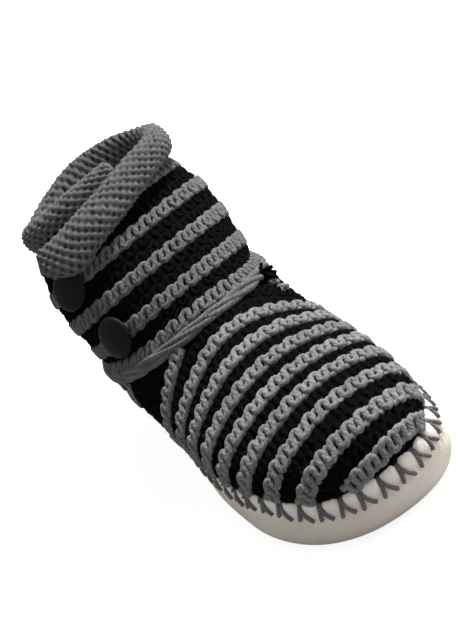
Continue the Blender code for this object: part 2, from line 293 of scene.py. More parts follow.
class Skin:
    """The outside of a piece, for finding places on it."""

    def __init__(self, mesh: bpy.types.Mesh) -> None:
        """Read a mesh.

        Args:
            mesh: closed mesh in metres.
        """
        form = bmesh.new()
        form.from_mesh(mesh)
        bmesh.ops.scale(form, vec=Vector((1.0, 1.0, 1.0)) / MM, verts=form.verts)
        self.tree = BVHTree.FromBMesh(form)
        form.free()

    def from_outside(self, centre: np.ndarray, way: np.ndarray) -> tuple | None:
        """The outermost point of the skin seen from a centre.

        Args:
            centre: point inside.
            way: direction outwards.

        Returns:
            Point and normal, or None where the ray misses.
        """
        way = Vector(way).normalized()
        far = Vector(centre) + way * OUTSIDE
        place, normal, _, _ = self.tree.ray_cast(far, -way, OUTSIDE)
        if place is None:
            return None
        return np.array(place), np.array(normal)

    def toward(self, start: np.ndarray, way: np.ndarray, reach: float = 28.0) -> np.ndarray:
        """The first point of the skin ahead of a start.

        Args:
            start: point outside.
            way: direction inwards, of unit length.
            reach: how far to look.

        Returns:
            The point met, or else the skin's nearest point to the place expected.
        """
        place, _, _, _ = self.tree.ray_cast(Vector(start), Vector(way).normalized(), reach)
        if place is None:
            place, _, _, _ = self.tree.find_nearest(Vector(start) + Vector(way) * STAND_OFF)
        return np.array(place)


# ---- rows of loops
@dataclass
class Guide:
    """A line on the knit along which a row of loops runs."""

    places: np.ndarray
    normals: np.ndarray
    closed: bool = False
    look: float = 1.5          # how far ahead and behind a direction is taken

    def __post_init__(self) -> None:
        """Even out the line and work out its running length."""
        for _ in range(3):
            self.places = self.evened(self.places)
            self.normals = self.evened(self.normals)
        if self.closed:
            self.places = np.vstack([self.places, self.places[:1]])
            self.normals = np.vstack([self.normals, self.normals[:1]])
        self.run = running_length(self.places)
        self.length = float(self.run[-1])

    @classmethod
    def through(cls, hits: list, closed: bool = False) -> Guide:
        """A line through places found on a skin.

        Args:
            hits: points with their normals, or None for a place that wasn't found.
            closed: whether the line's end meets its start.

        Returns:
            The line.
        """
        hits = [hit for hit in hits if hit is not None]
        return cls(np.array([p for p, _ in hits]), np.array([n for _, n in hits]), closed=closed)

    def evened(self, values: np.ndarray) -> np.ndarray:
        """Draw each value of the line halfway towards the mean of its neighbours.

        Args:
            values: one row for each place.

        Returns:
            The evened rows.
        """
        if self.closed:
            near = np.roll(values, 1, 0) + np.roll(values, -1, 0)
            return values * 0.5 + near * 0.25
        inner = values[1:-1] * 0.5 + (values[2:] + values[:-2]) * 0.25
        return np.vstack([values[:1], inner, values[-1:]])

    def read(self, values: np.ndarray, run: np.ndarray) -> np.ndarray:
        """Values of the line at distances from its start."""
        return np.stack([np.interp(run, self.run, values[:, k]) for k in range(3)], 1)

    def at(self, run: np.ndarray) -> tuple[np.ndarray, np.ndarray, np.ndarray]:
        """Places along the line.

        Args:
            run: distances from the line's start.

        Returns:
            Points, outward normals, and directions across the row.
        """
        if self.closed:
            run = np.mod(run, self.length)
        ahead = self.read(self.places, np.minimum(run + self.look, self.length))
        along = unit(ahead - self.read(self.places, np.maximum(run - self.look, 0.0)))
        normal = self.read(self.normals, run)
        normal = unit(normal - along * (normal * along).sum(1)[:, None])
        return self.read(self.places, run), normal, np.cross(normal, along)


@dataclass(frozen=True)
class Loops:
    """Size and shape of the loops in a row."""

    pitch: float = 8.2        # one stitch along the row
    half: float = 2.6         # half height of the yarn's middle line
    radius: float = 1.5       # of the yarn
    proud: float = 0.2        # how far the yarn's middle stands out from the knit's face
    dive: float = 0.4         # how far the loops' heads go in and their legs come out
    lean: float = 0.14        # slant of the legs, as a share of the pitch
    bulge: float = 0.085      # widening of the loops' heads, as a share of the pitch
    shift: float = 0.0        # start of the first loop, as a share of the pitch
    steps: int = 14
    back_depth: float = 1.15  # how much deeper the wave behind the loops lies
    back_less: float = 0.25   # and how much less tall it is

    def behind(self) -> Loops:
        """The second wave of the same yarn, which closes the loops from behind."""
        return replace(self, proud=self.proud - self.back_depth, half=self.half - self.back_less,
                       dive=0.0, shift=0.5, steps=10)


@dataclass(frozen=True)
class Row:
    """A row of loops: its line, its wool and the size of its loops."""

    guide: Guide
    wool: Wool
    loops: Loops


def guides(found: list) -> Iterator[Guide]:
    """Lines through the unbroken runs of a row.

    Args:
        found: points with their normals, or None where the row is broken.

    Yields:
        A line for each run that is long enough.
    """
    run = []
    for hit in [*found, None]:
        if hit is not None:
            run.append(hit)
            continue
        if len(run) > SHORTEST_RUN:
            yield Guide.through(run)
        run = []


def loop_path(guide: Guide, loops: Loops, chance: random.Random) -> np.ndarray:
    """The yarn's middle line along a row.

    Args:
        guide: the line of the row.
        loops: size of its loops.
        chance: source of the small unevenness of handwork.

    Returns:
        Points of the yarn.
    """
    count = max(1, round(guide.length / loops.pitch))
    phase = np.linspace(0.0, count, count * loops.steps + 1)
    knots = np.arange(count * 2 + 3)
    tall, drift, lift = (
        np.interp(phase * 2, knots, [chance.gauss(mean, spread) for _ in knots])
        for mean, spread in UNEVENNESS
    )
    turn = 2 * math.pi * (phase + loops.shift)
    across = loops.half * tall * np.cos(turn)
    run = phase + drift + loops.lean * np.cos(turn) + loops.bulge * np.sin(2 * turn)
    pitch = guide.length / count
    point, normal, up = guide.at(np.clip(run * pitch, 0.0, guide.length))
    depth = loops.proud + lift - loops.dive * np.cos(2 * turn)
    return point + up * across[:, None] + normal * depth[:, None]


def yarn_mesh(paths: list[np.ndarray], radii: list[float], name: str, sides: int = 8,
              twist: float = 9.0) -> bpy.types.Mesh:
    """Round yarns along paths, as one mesh whose map runs along and around each yarn.

    Args:
        paths: points of each yarn's middle line.
        radii: each yarn's radius.
        name: name of the mesh.
        sides: facets round the yarn.
        twist: length that makes one unit of the map.

    Returns:
        The mesh.
    """
    curve = bpy.data.curves.new(name, "CURVE")
    curve.dimensions = "3D"
    curve.bevel_depth = MM
    curve.bevel_resolution = sides // 2 - 2
    curve.use_fill_caps = True
    for path, radius in zip(paths, radii):
        spline = curve.splines.new("POLY")
        spline.points.add(len(path) - 1)
        flat = np.column_stack([path * MM, np.ones(len(path))]).astype(np.float32)
        spline.points.foreach_set("co", flat.ravel())
        spline.points.foreach_set("radius", np.full(len(path), radius, np.float32))
    mesh = baked_mesh(add_object(name, curve))
    bpy.data.curves.remove(curve)
    lengths = np.array([running_length(path)[-1] for path in paths])
    corners = np.empty(len(mesh.loops), np.int32)
    mesh.loops.foreach_get("vertex_index", corners)
    starts = np.cumsum([0] + [len(path) * sides for path in paths])
    owner = np.clip(np.searchsorted(starts, corners, side="right") - 1, 0, len(paths) - 1)
    layer = mesh.uv_layers[0]
    layer.name = "yarn"
    layer.active_render = True
    flat = np.empty(len(mesh.loops) * 2, np.float32)
    layer.data.foreach_get("uv", flat)
    flat = flat.reshape(-1, 2)
    flat[:, 0] *= (lengths / twist)[owner]
    layer.data.foreach_set("uv", flat.ravel())
    return mesh


def grow_fuzz(source: bpy.types.Object, slot: str, count: int, length: float = 1.7,
              radius: float = 0.055) -> None:
    """Loose fibres that stand off a piece of wool, as one more piece in its finish.

    Args:
        source: the piece they grow from.
        slot: its material slot.
        count: number of fibres.
        length: of a long fibre.
        radius: of a fibre.
    """
    points, normals = read_points(source.data)
    chance = np.random.default_rng(len(points))
    pick = chance.integers(0, len(points), count)
    side = unit(np.cross(normals[pick], chance.normal(size=(count, 3))))
    reach = length * chance.uniform(0.35, 1.0, (count, 1))
    steps = [points[pick] + normals[pick] * reach * (share * 0.8 - 0.1) + side * reach * share**2
             for share in (0.0, 0.55, 1.0)]
    name = source.name + "_fuzz"
    mesh = yarn_mesh(list(np.stack(steps, axis=1)), [radius] * count, name, sides=4)
    settle(link(mesh, name, source.data.materials[0]), slot)


# ---- finishes
def node(tree: bpy.types.NodeTree, kind: str, inputs: dict | None = None,
         **settings: object) -> bpy.types.Node:
    """Add a shader node.

    Args:
        tree: node tree.
        kind: node type without its prefix.
        inputs: for each socket by name or number, the socket or value that it gets.
        settings: properties of the node.

    Returns:
        The node.
    """
    made = tree.nodes.new("ShaderNode" + kind)
    for key, value in settings.items():
        setattr(made, key, value)
    for key, value in (inputs or {}).items():
        if isinstance(value, bpy.types.NodeSocket):
            tree.links.new(value, made.inputs[key])
        else:
            made.inputs[key].default_value = value
    return made


def mixed(tree: bpy.types.NodeTree, share: object, first: object, second: object) -> object:
    """Mix two colours.

    Args:
        tree: node tree.
        share: socket or number for the share of the second.
        first: socket, or red, green and blue.
        second: socket, or red, green and blue.

    Returns:
        The socket of the mixed colour.
    """
    first, second = ((*colour, 1.0) if isinstance(colour, tuple) else colour
                     for colour in (first, second))
    return node(tree, "Mix", {0: share, 6: first, 7: second}, data_type="RGBA").outputs[2]


def worked(tree: bpy.types.NodeTree, operation: str, *values: object) -> object:
    """The result of a Math node on sockets or numbers."""
    return node(tree, "Math", dict(enumerate(values)), operation=operation).outputs[0]


def noise(tree: bpy.types.NodeTree, scale: object, detail: float, roughness: float = 0.5,
          distortion: float = 0.0) -> object:
    """Noise in the slipper's own space.

    Args:
        tree: node tree.
        scale: socket or number.
        detail: number of finer layers.
        roughness: strength of the finer layers.
        distortion: how far the noise is stirred.

    Returns:
        The socket of its value.
    """
    place = node(tree, "TexCoord").outputs["Object"]
    inputs = {"Vector": place, "Scale": scale, "Detail": detail, "Roughness": roughness,
              "Distortion": distortion}
    return node(tree, "TexNoise", inputs).outputs["Fac"]


def new_material(name: str, sockets: dict[str, float]) -> tuple:
    """Start a material.

    Args:
        name: its name.
        sockets: values that are the same all over, by the name of the shader's socket.

    Returns:
        The material, its node tree and its shader.
    """
    material = bpy.data.materials.new(name)
    material.use_nodes = True
    shader = material.node_tree.nodes["Principled BSDF"]
    for key, value in sockets.items():
        shader.inputs[key].default_value = value
    return material, material.node_tree, shader


def emboss(tree: bpy.types.NodeTree, shader: bpy.types.Node, height: object, strength: float,
           depth: float) -> None:
    """Give a shader a fine relief.

    Args:
        tree: node tree.
        shader: the shader.
        height: socket of the relief.
        strength: share of the relief that shows.
        depth: its depth in metres.
    """
    bump = node(tree, "Bump", {"Strength": strength, "Distance": depth, "Height": height})
    tree.links.new(bump.outputs["Normal"], shader.inputs["Normal"])


def fibre_group() -> bpy.types.NodeTree:
    """Fibres and uneven dye, shared by the wools, the felt and the thread.

    Returns:
        The group, with Scale in, and Fibres and Patches out.
    """
    group = bpy.data.node_groups.new("wool_fibres", "ShaderNodeTree")
    for name, way in (("Scale", "INPUT"), ("Fibres", "OUTPUT"), ("Patches", "OUTPUT")):
        group.interface.new_socket(name, in_out=way, socket_type="NodeSocketFloat")
    entry = group.nodes.new("NodeGroupInput")
    leave = group.nodes.new("NodeGroupOutput")
    group.links.new(noise(group, entry.outputs["Scale"], 3.0, 0.65), leave.inputs["Fibres"])
    group.links.new(noise(group, 60.0, 2.0), leave.inputs["Patches"])
    return group


@dataclass(frozen=True)
class WoolFinish:
    """Spun wool: matt, fibrous and a little uneven in its dye, with painted shade in the grooves
    between plies and, where asked, in the pits of its relief.
    """

    name: str
    colour: tuple
    shade: tuple
    fibre_scale: float = 900.0
    fibre_depth: float = 0.00035
    plies: float = 0.0
    sheen: float = 0.25
    gloss: float = 0.1
    shaded_pits: bool = False
    dye: float = 0.9           # how much the patches of dye count beside the fibres
    ply_relief: float = 0.9    # height of a ply
    groove_shade: float = 0.35       # how dark the painted shade in the groove between plies is
    pit_shade: float = 0.22    # painted shade in a pit: how much of the shade colour's light is left there
    relief: float = 0.7

    def make(self, fibres: bpy.types.NodeTree) -> bpy.types.Material:
        """Build the material.

        Args:
            fibres: the shared fibre group.

        Returns:
            The material.
        """
        material, tree, shader = new_material(self.name, {
            "Roughness": 0.95,
            "Specular IOR Level": self.gloss,
            "Sheen Weight": self.sheen,
            "Sheen Roughness": 0.6,
        })
        group = node(tree, "Group", node_tree=fibres)
        group.inputs["Scale"].default_value = self.fibre_scale
        height = group.outputs["Fibres"]
        blend = worked(tree, "MULTIPLY_ADD", height, 2.0,
                       worked(tree, "MULTIPLY", group.outputs["Patches"], self.dye))
        colour = mixed(tree, worked(tree, "SUBTRACT", blend, 0.95), self.shade, self.colour)
        if self.plies:
            wave = self.ply_wave(tree)
            height = worked(tree, "MULTIPLY_ADD", wave, self.ply_relief,
                            worked(tree, "MULTIPLY", height, 0.8))
            # Painted shade in the grooves between the plies.
            groove_shade = worked(tree, "MULTIPLY_ADD", wave, -self.groove_shade, self.groove_shade)
            colour = mixed(tree, groove_shade, colour, self.shade)
        # Painted shade in the pits of the relief, read from the mesh's attribute.
        if self.shaded_pits:
            depth = node(tree, "Attribute", attribute_name="pit").outputs["Fac"]
            colour = mixed(tree, depth, colour,
                           tuple(value * self.pit_shade for value in self.shade))
        tree.links.new(colour, shader.inputs["Base Color"])
        emboss(tree, shader, height, self.relief, self.fibre_depth)
        return material

    def ply_wave(self, tree: bpy.types.NodeTree) -> object:
        """Ridges of the plies, which wind round the yarn.

        Args:
            tree: the material's node tree.

        Returns:
            The socket of their height.
        """
        chart = node(tree, "UVMap", uv_map="yarn").outputs["UV"]
        split = node(tree, "SeparateXYZ", {"Vector": chart})
        turned = worked(tree, "MULTIPLY_ADD", split.outputs["Y"], self.plies,
                        worked(tree, "MULTIPLY", split.outputs["X"], self.plies))
        wave = worked(tree, "SINE", worked(tree, "MULTIPLY", turned, math.pi))
        return worked(tree, "ABSOLUTE", wave)


@dataclass(frozen=True)
class SuedeFinish:
    """Brushed cream suede: mottled, darkened near the floor by painted shade and soil, and pale
    at its cut edge.
    """

    name: str = "cream_suede"
    light: tuple = (0.84, 0.77, 0.67)
    dark: tuple = (0.64, 0.57, 0.47)
    floor_shade_and_soil: tuple = (0.20, 0.17, 0.13)
    pale: tuple = (0.88, 0.85, 0.78)
    floor_shade_and_soil_fade: tuple = (-160.0, 0.62)  # painted shade and soil near the floor: how fast they fade by height, and how strong they are at the floor
    pale_rise: tuple = (170.0, -3.3)   # pale edge: how fast it sets in, and where
    pale_most: float = 0.7

    def make(self) -> bpy.types.Material:
        """Build the material.

        Returns:
            The material.
        """
        material, tree, shader = new_material(self.name, {
            "Roughness": 0.92,
            "Specular IOR Level": 0.15,
            "Sheen Weight": 0.35,
            "Sheen Roughness": 0.45,
        })
        patches = noise(tree, 38.0, 4.0)
        nap = noise(tree, 1400.0, 4.0)
        share = worked(tree, "MULTIPLY_ADD", patches, 1.4, -0.2)
        colour = mixed(tree, share, self.dark, self.light)
        speck = worked(tree, "MULTIPLY_ADD", nap, 0.5, -0.12)
        colour = mixed(tree, speck, colour, self.light)
        place = node(tree, "TexCoord").outputs["Object"]
        height = node(tree, "SeparateXYZ", {"Vector": place}).outputs["Z"]
        # Painted shade and soil: darker within about 4 mm of the floor, in patches.
        low = worked(tree, "MULTIPLY_ADD", height, *self.floor_shade_and_soil_fade)
        low = worked(tree, "MAXIMUM", low, 0.0)
        colour = mixed(tree, worked(tree, "MULTIPLY", low, patches), colour, self.floor_shade_and_soil)
        high = worked(tree, "MULTIPLY_ADD", height, *self.pale_rise)
        high = worked(tree, "MINIMUM", worked(tree, "MAXIMUM", high, 0.0), self.pale_most)
        colour = mixed(tree, high, colour, self.pale)
        tree.links.new(colour, shader.inputs["Base Color"])
        relief = worked(tree, "MULTIPLY_ADD", patches, 1.2, worked(tree, "MULTIPLY", nap, 0.6))
        emboss(tree, shader, relief, 0.6, 0.0008)
        return material


@dataclass(frozen=True)
class HornFinish:
    """Dark polished horn: nearly black with faint brown streaks."""

    name: str = "dark_horn"
    dark: tuple = (0.004, 0.004, 0.004)
    brown: tuple = (0.011, 0.010, 0.009)

    def make(self) -> bpy.types.Material:
        """Build the material.

        Returns:
            The material.
        """
        material, tree, shader = new_material(self.name, {"Specular IOR Level": 0.12})
        streaks = noise(tree, 120.0, 3.0, distortion=1.2)
        tree.links.new(mixed(tree, streaks, self.dark, self.brown), shader.inputs["Base Color"])
        rough = worked(tree, "MULTIPLY_ADD", streaks, 0.2, 0.45)
        tree.links.new(rough, shader.inputs["Roughness"])
        return material


GREY_WOOL = WoolFinish("grey_wool", (0.30, 0.296, 0.298), (0.075, 0.073, 0.073), plies=3.0,
                       sheen=0.12)
# A darker copy of the grey wool: painted shade on the shaft, which turns away from the light.
SHADED_GREY_WOOL = WoolFinish("dark_grey_wool", (0.19, 0.186, 0.184), (0.05, 0.048, 0.048),
                            plies=3.0, sheen=0.1)
BLACK_WOOL = WoolFinish("black_wool", (0.005, 0.0045, 0.0048), (0.002, 0.002, 0.002), plies=3.0,
                        sheen=0.0, gloss=0.03)
GROUND_WOOL = WoolFinish("ground_wool", (0.0045, 0.004, 0.004), (0.002, 0.002, 0.002),
                         sheen=0.0, gloss=0.03)
MOSS_WOOL = WoolFinish("moss_wool", (0.130, 0.126, 0.121), (0.075, 0.072, 0.069), sheen=0.1,
                       shaded_pits=True)
GREY_THREAD = WoolFinish("grey_thread", (0.20, 0.185, 0.185), (0.11, 0.10, 0.10), plies=2.0,
                         sheen=0.1)
GREY_FELT = WoolFinish("grey_felt", (0.16, 0.15, 0.14), (0.09, 0.085, 0.08), fibre_scale=700.0,
                       fibre_depth=0.0005)
SHADOWED_SUEDE = WoolFinish("shadowed_suede", (0.035, 0.03, 0.025), (0.02, 0.017, 0.015),
                            sheen=0.0)


# ---- knitted upper
@dataclass(frozen=True)
class FootRow:
    """A row across the foot: where its plane meets the spine, its slope, bow and loops."""

    spine: float
    lean: float
    bow: float
    wool: Wool
    half: float = 2.7


@dataclass(frozen=True)
class LooseEnds:
    """Yarn ends by the inner end of the ankle ridge: two roots, number, reach and radius."""

    name: str
    roots: tuple
    count: int
    reach: float
    radius: float


FOOT_HALF = 2.7                # half height of a plain row on the foot
SHAFT_LOOPS = {
    Wool.GREY: Loops(half=3.1, radius=1.5, proud=0.6, dive=0.1, lean=0.15, bulge=0.1),
    Wool.BLACK: Loops(half=2.4, radius=1.4, proud=-0.6, dive=0.25, lean=0.12),
}


@dataclass
class Upper:
    """The knitted foot and shaft, as a dark ground with rows of loops on it."""

    skin: Skin
    ground: bpy.types.Mesh
    chance: random.Random
    skew: float = -0.065       # how far the rows run towards the heel on the inner side
    side_step: float = 6.3     # row height on the sides and round the heel
    heel_rows: int = 13        # rows in a quarter turn of the heel
    mouth_rise: float = 66.0   # height of the shaft's upper rim
    rim_band: float = 12.0     # band below that rim which is drawn up under the collar
    rim_draw: float = 5.4      # how far it is drawn up
    rim_sink: float = 1.5      # and in
    ground_sink: float = 0.45  # how far the ground lies behind the solid's face
    foot_sweep: float = 96.0   # how far down each side a foot row is followed, in degrees
    edge_gap: float = 1.6      # how far the foot's rows go on below the suede's edge
    seam_gap: float = 3.0      # how far below the ankle seam they end
    seam_ahead: float = 4.0    # how far before the seam that end begins
    side_top: float = 78.0     # height up to which the side rows are followed
    side_slope: float = 0.09   # slope of the first side row; the fifth stands upright
    overlap: tuple = (-74.0, 284.0)    # where the shaft's rows start and end, in degrees
    lowest_rise: float = -8.0  # the shaft's lowest row
    rise_span: float = 75.0    # height over which that row's own climb at the back is lost
    back_climb: float = 3.2    # how much higher a row lies at the back
    low_climb: float = 12.0    # and how much higher still the lowest row
    side_climb: float = 0.6    # how much higher a row lies on the inner side
    ridge_gap: float = 8.6     # how far above the seam the shaft's rows end
    ridge_row: float = 3.9     # where one more row lies along the ridge
    foot_fuzz: int = 3200      # fibres on the foot's rows of one wool
    shaft_fuzz: int = 2600     # and on the shaft's
    strands: int = 4           # of the ankle ridge
    strand_radius: float = 1.6
    strand_turns: float = 6.0  # how often they wind round one another
    ridge_half: float = 2.05   # half height of the ridge
    ridge_proud: float = 0.3   # how far its middle stands out from the knit's face
    rows: tuple = (
        FootRow(-128.2, 44.0, 0.0, Wool.BLACK, 2.4),
        FootRow(-121.6, 36.0, -0.5, Wool.GREY, 3.3),
        FootRow(-116.0, 32.0, -0.3, Wool.BLACK, 2.7),
        FootRow(-110.8, 30.0, -0.1, Wool.BLACK, 2.7),
        FootRow(-105.4, 28.0, 0.0, Wool.GREY, 3.3),
        FootRow(-99.0, 27.4, 0.5, Wool.BLACK, 2.8),
        FootRow(-93.0, 26.8, 1.0, Wool.BLACK, 2.8),
        FootRow(-86.6, 26.0, 1.4, Wool.GREY, 3.1),
        FootRow(-78.2, 26.0, 1.4, Wool.BLACK, 3.4),
        FootRow(-69.8, 26.0, 1.3, Wool.GREY, 3.0),
        FootRow(-62.6, 25.5, 0.7, Wool.BLACK, 3.1),
        FootRow(-55.6, 25.0, 0.2, Wool.GREY, 2.9),
        FootRow(-49.0, 23.5, 0.0, Wool.BLACK, 2.9),
        FootRow(-42.4, 22.0, 0.0, Wool.GREY, 2.8),
        FootRow(-36.0, 20.0, 0.3, Wool.BLACK, 2.8),
        FootRow(-29.6, 18.0, 0.6, Wool.GREY, 2.7),
        FootRow(-24.4, 15.0, 0.9, Wool.BLACK, 2.5),
        FootRow(-19.2, 12.0, 1.2, Wool.GREY, 2.7),
        FootRow(-13.2, 9.0, 1.0, Wool.BLACK, 2.7),
        FootRow(-7.0, 6.0, 0.8, Wool.GREY, 2.7),
    )
    grey_rises: tuple = (-8.2, 7.6, 25.0, 43.0, 60.6)
    black_tuft: LooseEnds = LooseEnds(
        "black_tuft", ((36.4, 4.0, 71.6), (36.8, 1.8, 69.2)), 18, 7.0, 0.9)
    pale_stitches: LooseEnds = LooseEnds(
        "pale_stitches", ((36.9, 0.4, 66.6), (38.9, -4.2, 61.6)), 10, 5.0, 1.3)

    @staticmethod
    def foot_loops(wool: Wool, half: float) -> Loops:
        """Loops of a row on the foot.

        Args:
            wool: the row's wool.
            half: half height of a grey row there.

        Returns:
            The loops.
        """
        if wool is Wool.GREY:
            return Loops(half=half, radius=1.6, proud=0.6, dive=0.1, lean=0.1, bulge=0.1)
        return Loops(half=half - 0.3, radius=1.4, proud=-0.6, dive=0.25, lean=0.1)

    def on_foot(self, centre: np.ndarray, way: np.ndarray) -> tuple | None:
        """A place on the foot between the pan's edge and the ankle seam.

        Args:
            centre: point inside the foot.
            way: direction outwards.

        Returns:
            Point and normal, or None where there is no such place.
        """
        hit = self.skin.from_outside(centre, way)
        if hit is None:
            return None
        x, y, z = hit[0]
        if z <= float(rim_height(x, y)) - self.edge_gap:
            return None
        if y > SEAM_START - self.seam_ahead and z >= float(seam_height(y)) - self.seam_gap:
            return None
        return hit

    def foot_rows(self) -> Iterator[Row]:
        """Rows across the foot, from the toe to the ankle.

        Yields:
            Each row, in as many parts as the seam and the pan leave of it.
        """
        for row in self.rows:
            lean = math.radians(row.lean)
            forward = np.array([0.0, -math.cos(lean), -math.sin(lean)])
            upward = np.array([0.0, -math.sin(lean), math.cos(lean)])
            inward = ACROSS + forward * self.skew
            centre = np.array([MIDDLE_X, row.spine, SPINE_Z])
            found = [
                self.on_foot(centre + forward * row.bow * angle**2,
                             inward * math.sin(angle) + upward * math.cos(angle))
                for angle in np.radians(np.linspace(-self.foot_sweep, self.foot_sweep, 193))
            ]
            for guide in guides(found):
                yield Row(guide, row.wool, self.foot_loops(row.wool, row.half))

    def side_rows(self) -> Iterator[Row]:
        """Upright rows on the two sides and round the heel, which meet behind.

        Yields:
            The rows, the outer and then the inner one of each pair.
        """
        first = self.rows[-1].spine + self.side_step
        straight = int((HEEL_POLE_Y - first) / self.side_step) + 1
        for place in range(straight + self.heel_rows):
            wool = Wool.GREY if place % 3 == 2 and place > 4 else Wool.BLACK
            slope = max(0.0, 1.0 - place / 4.0) * self.side_slope
            turn = math.radians((place - straight + 0.5) * 90.0 / self.heel_rows)
            for side in (-1.0, 1.0):
                found = []
                for z in np.linspace(PAN_TOP - 0.5, self.side_top, 60):
                    y, way = HEEL_POLE_Y, [side * math.cos(turn), math.sin(turn), 0.0]
                    if place < straight:
                        y = first + place * self.side_step - (z - SPINE_Z) * slope
                        way = [side, 0.0, 0.0]
                    found.append(self.on_foot(np.array([MIDDLE_X, y, z]), np.array(way)))
                if side > 0:
                    found.reverse()
                for guide in guides(found):
                    yield Row(guide, wool, self.foot_loops(wool, FOOT_HALF))

    def shaft_levels(self) -> Iterator[tuple[float, Wool]]:
        """Levels of the rows up the shaft, with two black rows between the grey ones.

        Yields:
            Each level and its wool.
        """
        for place, (low, high) in enumerate(zip(self.grey_rises, self.grey_rises[1:])):
            if place:
                yield low, Wool.GREY
            step = (high - low) / 3.0
            yield low + step, Wool.BLACK
            yield low + 2 * step, Wool.BLACK
        yield self.grey_rises[-1], Wool.GREY

    def on_shaft(self, rise: float, turn: float) -> tuple | None:
        """A place on a row of the shaft, which climbs a little towards the back.

        Args:
            rise: the row's height in front.
            turn: angle round the shaft, from the front.

        Returns:
            Point and normal, or None where the ankle ridge lies.
        """
        low = 1.0 - (rise - self.lowest_rise) / self.rise_span
        round_back = (1.0 - math.cos(turn)) / 2.0
        height = rise + self.back_climb * round_back + self.side_climb * math.sin(turn)
        height += low * self.low_climb * round_back**3
        way = ACROSS * math.sin(turn) - SHAFT_BACK * math.cos(turn)
        hit = self.skin.from_outside(SHAFT_FOOT + SHAFT_AXIS * height, way)
        if hit is not None and hit[0][2] < float(seam_height(hit[0][1])) + self.ridge_gap:
            return None
        return hit

    def shaft_rows(self) -> Iterator[Row]:
        """Rows round the shaft, from the buttoned edge all the way round to it again.

        Yields:
            The rows, and last the one that lies along the ankle ridge.
        """
        for rise, wool in self.shaft_levels():
            found = [self.on_shaft(rise, math.radians(degrees))
                     for degrees in np.linspace(*self.overlap, 300)]
            for guide in guides(found):
                yield Row(guide, wool, SHAFT_LOOPS[wool])
        yield Row(self.seam_line(self.ridge_row), Wool.GREY, SHAFT_LOOPS[Wool.GREY])

    def seam_line(self, above: float = 0.0) -> Guide:
        """The line of the raised ankle seam, or one a little above it.

        Args:
            above: how far above the seam.

        Returns:
            The closed line.
        """
        found = []
        for turn in np.linspace(0.0, 2 * math.pi, 240, endpoint=False):
            x, y = math.sin(turn), -math.cos(turn)
            height = float(seam_height(SEAM_Y + y * SEAM_HALF_LENGTH)) + above
            centre = np.array([SEAM_X, SEAM_Y + y * 20.0, height])
            way = np.array([x * SEAM_HALF_WIDTH, y * (SEAM_HALF_LENGTH - 20.0), 0.0])
            found.append(self.skin.from_outside(centre, way))
        return Guide.through(found, closed=True)

    def yarns(self, rows: list[Row], wool: Wool, name: str) -> bpy.types.Mesh:
        """All yarn of one wool along some rows.

        Args:
            rows: rows of both wools.
            wool: the wool to take.
            name: name of the mesh.

        Returns:
            The mesh of the yarns.
        """
        paths, radii = [], []
        for row in rows:
            if row.wool is not wool:
                continue
            waves = [row.loops, row.loops.behind()] if wool is Wool.GREY else [row.loops]
            for loops in waves:
                paths.append(loop_path(row.guide, loops, self.chance))
                radii.append(loops.radius)
        return yarn_mesh(paths, radii, name)

    def lay_ground(self, finish: bpy.types.Material) -> None:
        """Make the dark knit behind the rows, drawn up under the collar at its rim.

        Args:
            finish: its wool.
        """
        points, normals = read_points(self.ground)
        rise = (points - SHAFT_FOOT) @ SHAFT_AXIS
        near_rim = smooth_step(self.mouth_rise - self.rim_band, self.mouth_rise, rise)[:, None]
        points -= normals * (self.ground_sink + self.rim_sink * near_rim)
        write_points(self.ground, points + SHAFT_AXIS * self.rim_draw * near_rim)
        settle(link(self.ground, "knit_ground", finish), "knit", "knit_upper")

    def build(self, grey: bpy.types.Material, shaded_grey: bpy.types.Material,
              black: bpy.types.Material, ground: bpy.types.Material) -> None:
        """Make the ground, the stripes of the foot and the shaft, and the ankle ridge.

        Args:
            grey: wool of the foot's pale rows.
            shaded_grey: a darker copy of the grey wool, painted shade for the shaft's pale rows
                and the ridge.
            black: wool of the black rows.
            ground: wool of the ground.
        """
        self.lay_ground(ground)
        foot = list(self.foot_rows())
        last = foot[-1]
        if last.guide.places[:, 0].mean() > 0.0:    # black where it lies on the inner side
            foot[-1] = Row(last.guide, Wool.BLACK, self.foot_loops(Wool.BLACK, FOOT_HALF))
        foot += self.side_rows()
        shaft = list(self.shaft_rows())
        # The shaft's grey rows get the darker copy of the grey wool, as painted shade.
        for wool, low, high in ((Wool.GREY, grey, shaded_grey), (Wool.BLACK, black, black)):
            for part, rows, finish, fibres in (("foot", foot, low, self.foot_fuzz),
                                               ("shaft", shaft, high, self.shaft_fuzz)):
                name = f"{part}_rows_{wool.value}"
                piece = link(self.yarns(rows, wool, name), name, finish)
                grow_fuzz(settle(piece, "knit"), "knit", fibres)
        self.ridge(shaded_grey)
        self.loose_ends(self.black_tuft, black)
        self.loose_ends(self.pale_stitches, grey)

    def loose_ends(self, ends: LooseEnds, finish: bpy.types.Material) -> None:
        """Yarn ends where the seam was closed on the inner side.

        Args:
            ends: where and how large they are.
            finish: their wool.
        """
        draw = self.chance.uniform
        paths = []
        for number in range(ends.count):
            root = np.array(ends.roots[number % 2])
            start = root + [0.0, draw(-1.8, 1.8), draw(-1.8, 1.8)]
            way = np.array([draw(0.5, 1.0), draw(-0.9, 0.6), draw(-0.2, 0.9)])
            bend = np.array([0.0, draw(-0.6, 0.6), -0.5])
            run = np.linspace(0.0, ends.reach * draw(0.6, 1.1), 7)[:, None]
            paths.append(start - way * 1.5 + way * run + bend * run**2 / ends.reach)
        mesh = yarn_mesh(paths, [ends.radius] * ends.count, ends.name)
        settle(link(mesh, ends.name, finish), "knit")

